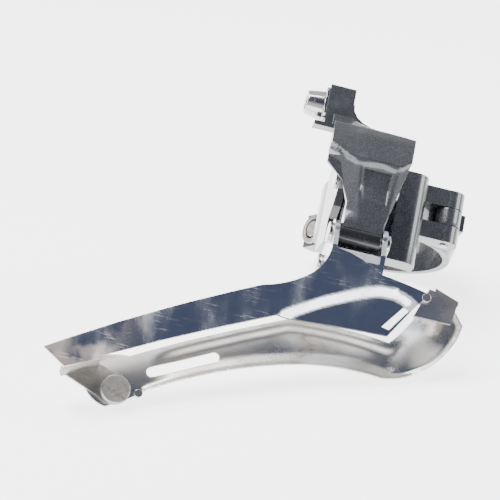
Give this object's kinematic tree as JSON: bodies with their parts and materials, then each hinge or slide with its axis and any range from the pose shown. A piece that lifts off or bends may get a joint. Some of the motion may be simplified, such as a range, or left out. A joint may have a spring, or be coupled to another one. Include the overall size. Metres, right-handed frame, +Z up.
{
  "type": "front derailleur",
  "caption": "Band-on front derailleur: hinged tube clamp, parallelogram links with a cable arm, and a long curved chain cage of polished and satin plates.",
  "frame": {"origin": "middle of the clamp's bore, on the seat tube's axis", "axes": "+Z up along the seat tube, +X to the front of the bicycle (cage nose), +Y away from the drive side; the cage is on the -Y side"},
  "size_m": [0.1068, 0.0766, 0.0984],
  "materials": {
    "dark_paint": "glossy, fine metal flake",
    "black_paint": "glossy",
    "polished_steel": "polished",
    "satin_steel": "satin",
    "bright_steel": "bright",
    "dull_steel": "worn",
    "bronze": "plain",
    "nylon": "plain"
  },
  "bodies": {
    "base": {"base_bracket": "dark_paint", "clamp_hinge_pin": "bright_steel", "upper_outer_pin": "bright_steel", "upper_inner_pin": "bright_steel", "high_limit_nylon_ring": "nylon", "low_limit_nylon_ring": "nylon", "clamp_nut": "dull_steel"},
    "clamp_band": {"clamp_band": "dark_paint"},
    "clamp_bolt": {"clamp_bolt": "dull_steel", "clamp_bolt_washer": "dull_steel"},
    "high_limit_screw": {"high_limit_screw": "dull_steel"},
    "low_limit_screw": {"low_limit_screw": "dull_steel"},
    "outer_link": {"outer_link": "dark_paint", "outer_link_bush": "bronze", "lower_pivot_sleeve": "black_paint", "cable_washer": "bright_steel"},
    "cable_bolt": {"cable_bolt": "bright_steel"},
    "inner_link": {"inner_link": "black_paint", "inner_link_bushes": "bronze", "return_spring": "dull_steel"},
    "cage": {"outer_plate": "polished_steel", "inner_plate": "satin_steel", "tail_rivet": "dull_steel", "tail_stud": "satin_steel", "nose_rivet": "satin_steel", "lower_outer_pin": "bright_steel", "lower_inner_pin": "bright_steel"}
  },
  "joints": [
    {"name": "shift", "type": "hinge", "parent": "base", "child": "outer_link", "pos_m": [-0.012, -0.036, 0.007], "axis": [-1, 0, 0], "range_deg": [0, 32], "stiffness_Nm_per_rad": 0.35, "springref_deg": -22.92},
    {"name": "cage_level", "type": "hinge", "parent": "outer_link", "child": "cage", "pos_m": [-0.012, -0.03962, -0.01875], "axis": [-1, 0, 0], "range_deg": [-32, 0]},
    {"name": "inner_swing", "type": "hinge", "parent": "base", "child": "inner_link", "pos_m": [-0.012, -0.026, 0.001], "axis": [-1, 0, 0], "range_deg": [0, 32]},
    {"name": "band_open", "type": "hinge", "parent": "base", "child": "clamp_band", "pos_m": [0.01358, -0.01738, 0], "axis": [0, 0, -1], "range_deg": [0, 50]},
    {"name": "clamp_bolt_out", "type": "slide", "parent": "clamp_band", "child": "clamp_bolt", "axis": [0.8829, 0.4695, 0], "range_m": [0, 0.0306]},
    {"name": "high_screw_turn_out", "type": "slide", "parent": "base", "child": "high_limit_screw", "axis": [0, 0, 1], "range_m": [-0.0008, 0.003]},
    {"name": "low_screw_turn_out", "type": "slide", "parent": "base", "child": "low_limit_screw", "axis": [0, 0, 1], "range_m": [-0.0008, 0.003]},
    {"name": "cable_bolt_out", "type": "slide", "parent": "outer_link", "child": "cable_bolt", "axis": [-1, 0, 0], "range_m": [0, 0.003]}
  ],
  "couplings": [
    {"joint": "cage_level", "follows": "shift", "ratio": -1},
    {"joint": "inner_swing", "follows": "shift", "ratio": 1},
    {"joint": "clamp_bolt_out", "follows": "band_open", "m_per_rad": 0.035}
  ]
}
